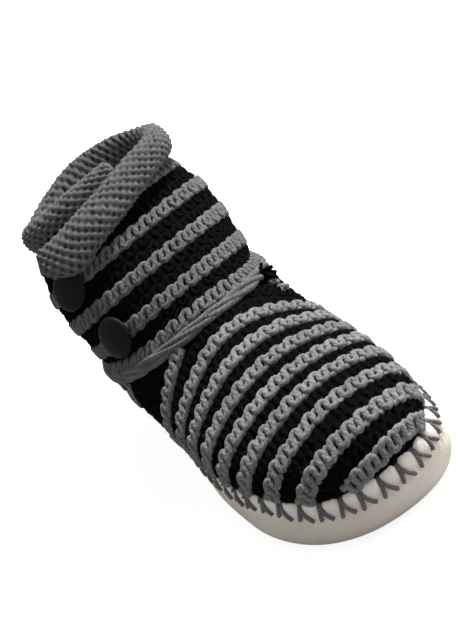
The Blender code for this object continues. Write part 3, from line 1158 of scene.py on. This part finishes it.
    def ridge(self, finish: bpy.types.Material) -> None:
        """The ankle ridge: long strands that lie side by side and cross a little.

        Args:
            finish: its wool.
        """
        seam = self.seam_line()
        run = np.linspace(0.0, seam.length, int(seam.length / 1.5))
        point, normal, up = seam.at(run)
        paths = []
        for strand in range(self.strands):
            turn = run / seam.length * 2 * math.pi * self.strand_turns + strand * math.pi / 2.0
            turn += 0.35 * np.sin(run / 17.0 + strand)
            path = point + up * (self.ridge_half * np.cos(turn))[:, None]
            paths.append(path + normal * (self.ridge_proud + 0.55 * np.sin(turn))[:, None])
        mesh = yarn_mesh(paths, [self.strand_radius] * self.strands, "ankle_ridge")
        settle(link(mesh, "ankle_ridge", finish), "knit")


# ---- collar
@dataclass(frozen=True)
class Section:
    """A section of the collar band: its turn round the mouth, place, half sizes and flare."""

    turn: float
    out: float
    middle: float
    half_height: float
    half_thick: float
    flare: float = 0.0


@dataclass
class Collar:
    """The thick moss-stitch band round the mouth, from its buttoned end to its curled end."""

    foot: tuple = (1.15, 51.0, 61.8)
    half_width: float = 41.8
    half_depth: float = 31.0
    stitch: float = 2.5
    relief: float = 0.75
    grain: float = 0.55        # size of the facets
    facets: int = 88           # round a section
    end_round: float = 4.2     # length over which the buttoned end is rounded
    lip_round: float = 3.0     # and the curled end, which stays open
    lip_share: float = 0.72    # size of the curled end's lip
    usual: tuple = (9.0, 5.0)  # half sizes by which the stitches round the band are counted
    fuzz: int = 3400           # number of loose fibres
    fuzz_length: float = 1.4
    sections: tuple = (
        Section(-58.0, 14.0, 60.6, 6.6, 3.2, 1.4),
        Section(-50.0, 13.4, 58.2, 8.8, 3.6, 2.2),
        Section(-38.0, 11.6, 56.2, 11.4, 4.0, 3.6),
        Section(-20.0, 9.6, 59.2, 10.4, 4.6, 3.6),
        Section(0.0, 8.0, 62.6, 9.6, 5.0, 3.2),
        Section(22.0, 7.4, 67.2, 8.8, 5.2, 2.0),
        Section(45.0, 6.6, 71.2, 8.0, 5.8, 0.6),
        Section(72.0, 3.8, 76.4, 8.6, 5.8),
        Section(105.0, 0.0, 80.0, 11.4, 4.6),
        Section(140.0, -1.2, 83.6, 15.2, 3.8),
        Section(175.0, -1.5, 84.4, 16.4, 3.6),
        Section(205.0, -1.4, 81.2, 14.0, 3.8),
        Section(232.0, -2.0, 78.2, 10.2, 4.4),
        Section(256.0, -3.2, 76.6, 7.6, 5.4),
        Section(280.0, -4.8, 76.0, 7.6, 6.4),
        Section(306.0, -6.0, 74.2, 8.2, 7.3),
        Section(330.0, -6.6, 74.0, 8.4, 7.5),
        Section(352.0, -6.0, 74.4, 7.8, 6.8),
        Section(368.0, -5.0, 75.4, 7.0, 6.0),
        Section(378.0, -4.4, 76.4, 6.4, 5.4),
    )

    def place(self, turn: np.ndarray, out: np.ndarray, rise: np.ndarray) -> np.ndarray:
        """Points by the mouth.

        Args:
            turn: angles round the mouth, in radians from the front.
            out: distances out of the wall.
            rise: heights along the shaft.

        Returns:
            Points in millimetres.
        """
        aside, deep = np.sin(turn) / self.half_width, -np.cos(turn) / self.half_depth
        size = np.hypot(aside, deep)
        across = self.half_width * np.sin(turn) + aside / size * out
        along = -self.half_depth * np.cos(turn) + deep / size * out
        return (np.array(self.foot) + across[..., None] * ACROSS
                + along[..., None] * SHAFT_BACK + rise[..., None] * SHAFT_AXIS)

    def rings(self) -> tuple[np.ndarray, np.ndarray, int]:
        """Points of the band before its relief, in rings that are evenly spaced along it.

        Returns:
            The rings, their distances from the buttoned end, and the stitches round the band.
        """
        table = np.array([astuple(section) for section in self.sections])
        turns, table = table[:, 0], table[:, 1:]
        rough = np.linspace(turns[0], turns[-1], 400)
        sizes = resample(turns, table, rough)
        run = running_length(self.place(np.radians(rough), sizes[:, 0], sizes[:, 1]))
        even = np.linspace(0.0, run[-1], int(run[-1] / self.grain))
        turn = np.interp(even, run, rough)
        out, middle, tall, thick, flare = resample(turns, table, turn).T[:, :, None]
        left = (run[-1] - even)[:, None]
        share = np.clip(np.minimum(even[:, None], left) / self.end_round, 0.0, 1.0)
        cap = np.sqrt(np.clip(1.0 - (1.0 - share) ** 2, 0.03, 1.0))
        lip = np.sqrt(1.0 - (1.0 - np.clip(left / self.lip_round, 0.0, 1.0)) ** 2)
        lip = self.lip_share + (1.0 - self.lip_share) * lip
        cap = np.where(even[:, None] > run[-1] / 2, lip, cap)
        fine = np.linspace(0.0, 2 * math.pi, 721)
        girth = running_length(self.ring(fine, *self.usual))
        around = np.interp(np.linspace(0.0, girth[-1], self.facets + 1), girth, fine)[None, :]
        round_x, round_z = self.ring(around, 1.0, 1.0).transpose(2, 0, 1)
        grid = self.place(
            np.radians(turn)[:, None] * np.ones_like(around),
            out + thick * cap * round_x - flare * cap * round_z,
            middle + tall * cap * round_z,
        )
        return grid, even, 2 * round(girth[-1] / self.stitch / 2)

    def bumps(self, even: np.ndarray, rows: int) -> np.ndarray:
        """Relief of the moss stitch: uneven bumps and pits in a drifting chequer.

        Args:
            even: distance of each ring along the band.
            rows: stitches round the band.

        Returns:
            Heights from about -1 to 1.
        """
        turn = np.linspace(0.0, 2 * math.pi, self.facets + 1)[None, :]
        along = even[:, None]
        slip = 0.5 * np.sin(along / 9.7 + 2.0 * turn) + 0.4 * np.sin(along / 23.0)
        drift = 0.45 * np.sin(along / 7.3 - 3.0 * turn) + 0.3 * np.sin(along / 15.1)
        wave = np.cos(along * math.pi / self.stitch + slip) * np.cos(turn * rows / 2 + drift)
        chance = np.random.default_rng(3)
        cells = chance.uniform(0.55, 1.3, (int(even[-1] / self.stitch) + 3, rows + 1))
        across = (along / self.stitch + slip / math.pi + 1.0).astype(int)
        around = ((turn * rows / 2 + drift) / math.pi + 0.5).astype(int) % rows
        return np.sign(wave) * np.abs(wave) ** 0.75 * cells[across, around]

    def build(self, finish: bpy.types.Material) -> None:
        """Make the band with its relief of stitches, and painted shade in its pits.

        Args:
            finish: its wool.
        """
        grid, even, rows = self.rings()
        bumps = self.bumps(even, rows)
        fade = smooth_step(0.5, 3.0, np.minimum(even, even[-1] - even)[:, None])
        sideways = np.gradient(grid, axis=1)
        sideways[:, 0] = sideways[:, -1] = grid[:, 1] - grid[:, -2]
        normal = unit(np.cross(sideways, np.gradient(grid, axis=0)))
        if ((grid - grid.mean(axis=1, keepdims=True)) * normal).sum() < 0:
            normal = -normal
        grid = grid + normal * (bumps * self.relief * fade)[..., None]
        # Painted shade: the deeper a point lies in the relief, the darker its colour.
        pit = np.clip(-bumps * 1.25 - 0.15, 0.0, 1.0) * fade
        mesh = tube_mesh(*self.hollow(grid, pit), "collar_band")
        band = settle(link(mesh, "collar_band", finish), "collar_knit", "collar_roll")
        grow_fuzz(band, "collar_knit", self.fuzz, self.fuzz_length)

    @staticmethod
    def hollow(grid: np.ndarray, pit: np.ndarray) -> tuple[np.ndarray, np.ndarray]:
        """Roll the band's last end inwards, so that it ends in a hollow coloured with painted
        shade.

        Args:
            grid: rings of points.
            pit: painted shade of each point, darker the deeper it lies in the relief.

        Returns:
            Both with the hollow's rings added.
        """
        middle = grid[-1].mean(axis=0)
        ahead = unit(middle - grid[-8].mean(axis=0))
        rings, shade_marks = [grid], [pit]
        # The hollow's rings darken with painted shade as they go in.
        for size, depth, shade_mark in ((0.93, -0.5, 0.0), (0.8, -0.7, 0.0), (0.66, -0.3, 0.1),
                                  (0.55, 0.8, 0.4), (0.48, 2.4, 0.8), (0.42, 4.4, 1.0)):
            ring = middle + (grid[-1] - middle) * size - ahead * depth
            rings.append(ring[None])
            shade_marks.append(np.full((1, grid.shape[1]), shade_mark))
        return np.concatenate(rings), np.concatenate(shade_marks)

    @staticmethod
    def ring(around: np.ndarray, tall: float, thick: float) -> np.ndarray:
        """Points of a rounded section.

        Args:
            around: angles round the section.
            tall: half height.
            thick: half thickness.

        Returns:
            Outward and upward parts of each point.
        """
        cosine, sine = np.cos(around), -np.sin(around)
        return np.stack([thick * np.sign(cosine) * np.abs(cosine) ** 0.9,
                         tall * np.sign(sine) * np.abs(sine) ** 0.9], axis=-1)


def resample(keys: np.ndarray, rows: np.ndarray, at: np.ndarray) -> np.ndarray:
    """Smooth curve through rows of numbers.

    Args:
        keys: parameter of each row.
        rows: the rows.
        at: parameters wanted.

    Returns:
        One row for each parameter.
    """
    slopes = np.gradient(rows, keys, axis=0)
    index = np.clip(np.searchsorted(keys, at, side="right") - 1, 0, len(keys) - 2)
    span = (keys[index + 1] - keys[index])[:, None]
    step = (at - keys[index])[:, None] / span
    return (
        (2 * step**3 - 3 * step**2 + 1) * rows[index]
        + (step**3 - 2 * step**2 + step) * span * slopes[index]
        + (-2 * step**3 + 3 * step**2) * rows[index + 1]
        + (step**3 - step**2) * span * slopes[index + 1]
    )


def tube_mesh(grid: np.ndarray, pit: np.ndarray, name: str) -> bpy.types.Mesh:
    """A closed tube through rings of points, capped at both ends.

    Args:
        grid: rings of points in millimetres, each with its first point again at its end.
        pit: how much painted shade each point gets, for its depth in the relief.
        name: name of the mesh.

    Returns:
        The mesh.
    """
    along, around = grid.shape[:2]
    form = bmesh.new()
    # Painted shade of each point, kept for the wool's finish.
    shade_mark = form.verts.layers.float.new("pit")
    bmesh.ops.create_grid(form, x_segments=along - 1, y_segments=around - 1, size=1.0)
    for vert in form.verts:
        i = round((vert.co.x + 1.0) / 2.0 * (along - 1))
        j = round((vert.co.y + 1.0) / 2.0 * (around - 1))
        vert[shade_mark] = float(pit[i, j])
        vert.co = grid[i, j] * MM
    bmesh.ops.remove_doubles(form, verts=form.verts, dist=1e-7)
    rims = [edge for edge in form.edges if edge.is_boundary]
    caps = bmesh.ops.holes_fill(form, edges=rims, sides=0)["faces"]
    bmesh.ops.poke(form, faces=caps)
    bmesh.ops.recalc_face_normals(form, faces=form.faces)
    return finished_mesh(form, name)


# ---- suede sole
@dataclass
class Pan:
    """The suede pan with its puckered edge and whip stitches."""

    solid: bpy.types.Object
    pitch: float = 10.1
    tab_lift: float = 1.2      # how far the tabs rise above the notches between them
    tab_puff: float = 0.4      # how far they swell outwards
    tab_tilt: float = 1.1      # how far they lean in over the knit
    notch_drop: float = 1.3    # how far the notches sink
    crease: float = 0.22       # depth of the crease below a notch
    waves: tuple = (0.35, 0.3)     # of the wall, the short and the long ones
    pinch: float = 0.9         # how far the thread draws the notches in
    leg_drop: float = 5.4      # length of a stitch's legs down the wall
    leg_spread: float = 2.3
    thread: float = 0.95
    slant: float = 1.4         # how far the legs' feet lie towards the outer side of the toe
    leg_top: float = 1.7       # how far below the edge a leg starts
    leg_bed: float = 0.75      # share of the thread's radius by which its middle stands out
    edge_z: float = 21.0       # height of the edge line
    half_width: float = 45.0   # half sizes of the pan, which spread that line's places
    half_length: float = 110.0

    def edge_line(self) -> Guide:
        """The line of the pan's wall just below its upper edge, from outside.

        Returns:
            The closed line.
        """
        skin = Skin(self.solid.data)
        found = []
        for turn in np.linspace(-math.pi, math.pi, 600, endpoint=False):
            centre = np.array([MIDDLE_X - 2.0, -20.0 * math.cos(turn), self.edge_z])
            way = np.array([math.sin(turn) * self.half_width,
                            -math.cos(turn) * self.half_length, 0.0])
            found.append(skin.from_outside(centre, way))
        return Guide.through(found, closed=True)

    @staticmethod
    def beside(edge: Guide, run: np.ndarray) -> tuple[np.ndarray, np.ndarray]:
        """Places on the edge line with the level way out of the wall.

        Args:
            edge: the line.
            run: distances along it.

        Returns:
            Points and unit directions.
        """
        place, out, _ = edge.at(run)
        return place, unit(out * [1.0, 1.0, 0.0])

    def build(self, suede: bpy.types.Material, thread: bpy.types.Material,
              hole_shade: bpy.types.Material) -> None:
        """Shape the suede and sew it.

        Args:
            suede: finish of the pan.
            thread: finish of the stitches.
            hole_shade: finish of the dark spots in the holes, which are painted shade.
        """
        edge = self.edge_line()
        count = round(edge.length / self.pitch)
        mesh = smooth_copy(self.solid, 3, "suede_pan")
        self.pucker(mesh, edge, edge.length / count)
        settle(link(mesh, "suede_pan", suede), "suede", "suede_sole")
        self.sew(Skin(mesh), edge, count, thread, hole_shade)

    def pucker(self, mesh: bpy.types.Mesh, edge: Guide, pitch: float) -> None:
        """Draw the edge into tabs and notches, and let the wall bulge a little.

        Args:
            mesh: the pan's mesh.
            edge: line of its edge.
            pitch: length of a tab with its notch.
        """
        dense = np.linspace(0.0, edge.length, 2400, endpoint=False)
        places, outs = self.beside(edge, dense)
        tree = KDTree(len(dense))
        for index, place in enumerate(places):
            tree.insert((place[0], place[1], 0.0), index)
        tree.balance()
        points, facing = read_points(mesh)
        nearest = np.array([tree.find((x, y, 0.0))[1] for x, y, _ in points])
        run, out, z = dense[nearest], outs[nearest], points[:, 2]
        # Each movement has a band of heights, from where it starts to where it is full.
        outer = smooth_step(-0.1, 0.6, (facing * out).sum(1) + smooth_step(24.5, 26.5, z) * 0.5)
        phase = np.abs((run / pitch + 0.5) % 1.0 - 0.5)     # 0 in a tab's middle, 0.5 in a notch
        unevenness = 1.0 + 0.12 * np.sin(run * 0.37) + 0.08 * np.sin(run * 0.91 + 2.0)
        tab = (1.0 - smooth_step(0.27, 0.43, phase)) * unevenness
        gap = smooth_step(0.3, 0.48, phase)
        push = outer * self.tab_puff * tab * np.exp(-(((z - 22.6) / 3.2) ** 2))
        push -= self.pinch * gap * smooth_step(17.0, 24.0, z)
        climb = rim_height(points[:, 0], points[:, 1]) - PAN_TOP
        tilt = tab * smooth_step(24.4, 27.0, z) * np.clip(1.0 - climb / 4.0, 0.0, 1.0)
        push -= self.tab_tilt * tilt
        crease = np.exp(-(((phase - 0.5) / 0.2) ** 2)) * smooth_step(9.0, 15.0, z)
        push -= outer * self.crease * crease * (1.0 - smooth_step(17.0, 21.0, z))
        body = smooth_step(2.0, 9.0, z) * (1.0 - smooth_step(16.0, 22.0, z))
        short, long = self.waves
        push += outer * body * (short * np.sin(run / 8.7 + 0.7 * np.sin(run / 31.0))
                                + long * np.sin(run / 19.0 + 1.0))
        points = points + out * push[:, None]
        lift = (tab * self.tab_lift - gap * self.notch_drop) * smooth_step(20.5, 26.0, z)
        points[:, 2] += lift + climb * smooth_step(12.0, 26.0, z)
        write_points(mesh, points)

    def sew(self, skin: Skin, edge: Guide, count: int, thread: bpy.types.Material,
            hole_shade: bpy.types.Material) -> None:
        """Whip stitches: two legs from the notch in the edge down to their holes.

        Args:
            skin: outside of the shaped suede.
            edge: line of its edge.
            count: number of stitches.
            thread: finish of the stitches.
            hole_shade: finish of the dark spots in the holes, which are painted shade.
        """
        chance = random.Random(5)
        paths, holes = [], bmesh.new()
        sunk = self.thread * self.leg_bed
        for number in range(count):
            middle = (number + 0.5) * edge.length / count + chance.uniform(-0.3, 0.3)
            for side in (-1.0, 1.0):
                spread = self.leg_spread * chance.uniform(0.85, 1.15)
                drop = self.leg_drop * chance.uniform(0.9, 1.08)
                share = np.linspace(0.0, 1.0, 9)
                aside = side * (0.55 + spread * share**1.3) + self.slant * share
                leg = []
                for place, out, low in zip(*self.beside(edge, middle + aside), drop * share):
                    start = place + out * STAND_OFF
                    start[2] = float(rim_height(*place[:2])) - self.leg_top - low
                    leg.append(skin.toward(start, -out) + out * sunk)
                end = leg[-1] - out * sunk
                inside = end - out * 1.4
                out = self.beside(edge, np.array([middle + side * 0.35]))[1][0]
                over = leg[0] - out * 1.2 + [0.0, 0.0, 0.9]
                away = leg[0] - out * 4.6 + [0.0, 0.0, 1.2]
                paths.append(np.vstack([away, over, *leg, inside]))
                # A dark sphere in each hole is painted shade.
                spot = Matrix.Translation(Vector((end + out * 0.12) * MM))
                bmesh.ops.create_icosphere(holes, subdivisions=1, radius=self.thread * MM,
                                           matrix=spot)
        mesh = yarn_mesh(paths, [self.thread] * len(paths), "whip_stitches", twist=4.0)
        settle(link(mesh, "whip_stitches", thread), "suede")
        settle(link(finished_mesh(holes, "stitch_holes"), "stitch_holes", hole_shade), "suede")


# ---- studio
@dataclass
class Studio:
    """Plain pale floor, soft light and the camera."""

    aim: tuple = (13.65, 18.1, 53.9)
    azimuth: float = -9.4
    elevation: float = 26.2
    roll: float = 35.0
    distance: float = 662.0
    lens: float = 73.35

    @staticmethod
    def seen_as(tree: bpy.types.NodeTree, lit: tuple, seen: tuple, socket: object) -> None:
        """Give a socket one colour for the light in the room and one for the eye.

        Args:
            tree: node tree.
            lit: colour that lights the slipper.
            seen: colour that is seen directly.
            socket: the socket.
        """
        direct = node(tree, "LightPath").outputs["Is Camera Ray"]
        tree.links.new(mixed(tree, direct, lit, seen), socket)

    def build(self) -> None:
        """Make floor, lights, world and camera."""
        form = bmesh.new()
        bmesh.ops.create_grid(form, x_segments=1, y_segments=1, size=6.0)
        material, tree, shader = new_material("pale_floor", {
            "Roughness": 0.9, "Specular IOR Level": 0.0, "Emission Strength": 1.0,
        })
        self.seen_as(tree, (0.42, 0.42, 0.42), (0.5, 0.5, 0.5), shader.inputs["Base Color"])
        self.seen_as(tree, (0.0, 0.0, 0.0), (0.84, 0.84, 0.84), shader.inputs["Emission Color"])
        mesh = finished_mesh(form, "floor")
        link(mesh, "floor", material)
        world = bpy.data.worlds.new("soft_room")
        world.use_nodes = True
        tree = world.node_tree
        self.seen_as(tree, (0.40, 0.40, 0.405), (1.0, 1.0, 1.0),
                     tree.nodes["Background"].inputs["Color"])
        bpy.context.scene.world = world
        bpy.context.scene.view_settings.view_transform = "Standard"
        self.lamp("key", (0.62, 0.28, 1.1), 0.28, 29.0)
        self.lamp("side", (1.1, -0.5, 0.5), 0.6, 4.0)
        self.camera()

    def lamp(self, name: str, place: tuple, size: float, power: float) -> None:
        """A soft square lamp that faces the slipper.

        Args:
            name: its name.
            place: where it hangs, in metres.
            size: its side, in metres.
            power: in watts.
        """
        data = bpy.data.lights.new(name, "AREA")
        data.size = size
        data.energy = power
        facing = (Vector(place) - Vector(self.aim) * MM).to_track_quat("Z", "Y").to_matrix()
        add_object(name, data).matrix_world = Matrix.Translation(place) @ facing.to_4x4()

    def camera(self) -> None:
        """The camera, rolled as the slipper is seen."""
        data = bpy.data.cameras.new("camera")
        data.sensor_width = 36.0
        data.lens = self.lens
        data.clip_end = 20.0
        camera = add_object("camera", data)
        turn, rise = math.radians(self.azimuth), math.radians(self.elevation)
        away = Vector((math.sin(turn) * math.cos(rise), -math.cos(turn) * math.cos(rise),
                       math.sin(rise)))
        facing = away.to_track_quat("Z", "Y").to_matrix()
        facing = facing @ Matrix.Rotation(-math.radians(self.roll), 3, "Z")
        place = (Vector(self.aim) + away * self.distance) * MM
        camera.matrix_world = Matrix.Translation(place) @ facing.to_4x4()
        bpy.context.scene.camera = camera


def main() -> None:
    """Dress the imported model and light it."""
    logging.basicConfig(level=logging.INFO)
    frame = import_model()
    nodes = frame["nodes"]
    fibres = fibre_group()
    wools = (GREY_WOOL, SHADED_GREY_WOOL, BLACK_WOOL, GROUND_WOOL)
    knit = smooth_copy(nodes["knit_upper"], 2, "knit_ground")
    Upper(Skin(knit), knit, random.Random(11)).build(*(wool.make(fibres) for wool in wools))
    Collar().build(MOSS_WOOL.make(fibres))
    Pan(nodes["suede_sole"]).build(SuedeFinish().make(), GREY_THREAD.make(fibres),
                                   SHADOWED_SUEDE.make(fibres))
    insole = smooth_copy(nodes["insole"], 1, "felt_insole")
    settle(link(insole, "felt_insole", GREY_FELT.make(fibres)), "felt", "insole")
    horn = HornFinish().make()
    for button in ("button_lower", "button_upper"):
        name = button + "_horn"
        settle(link(smooth_copy(nodes[button], 0, name), name, horn), "horn", button)
    Studio().build()


if __name__ == "__main__":
    main()
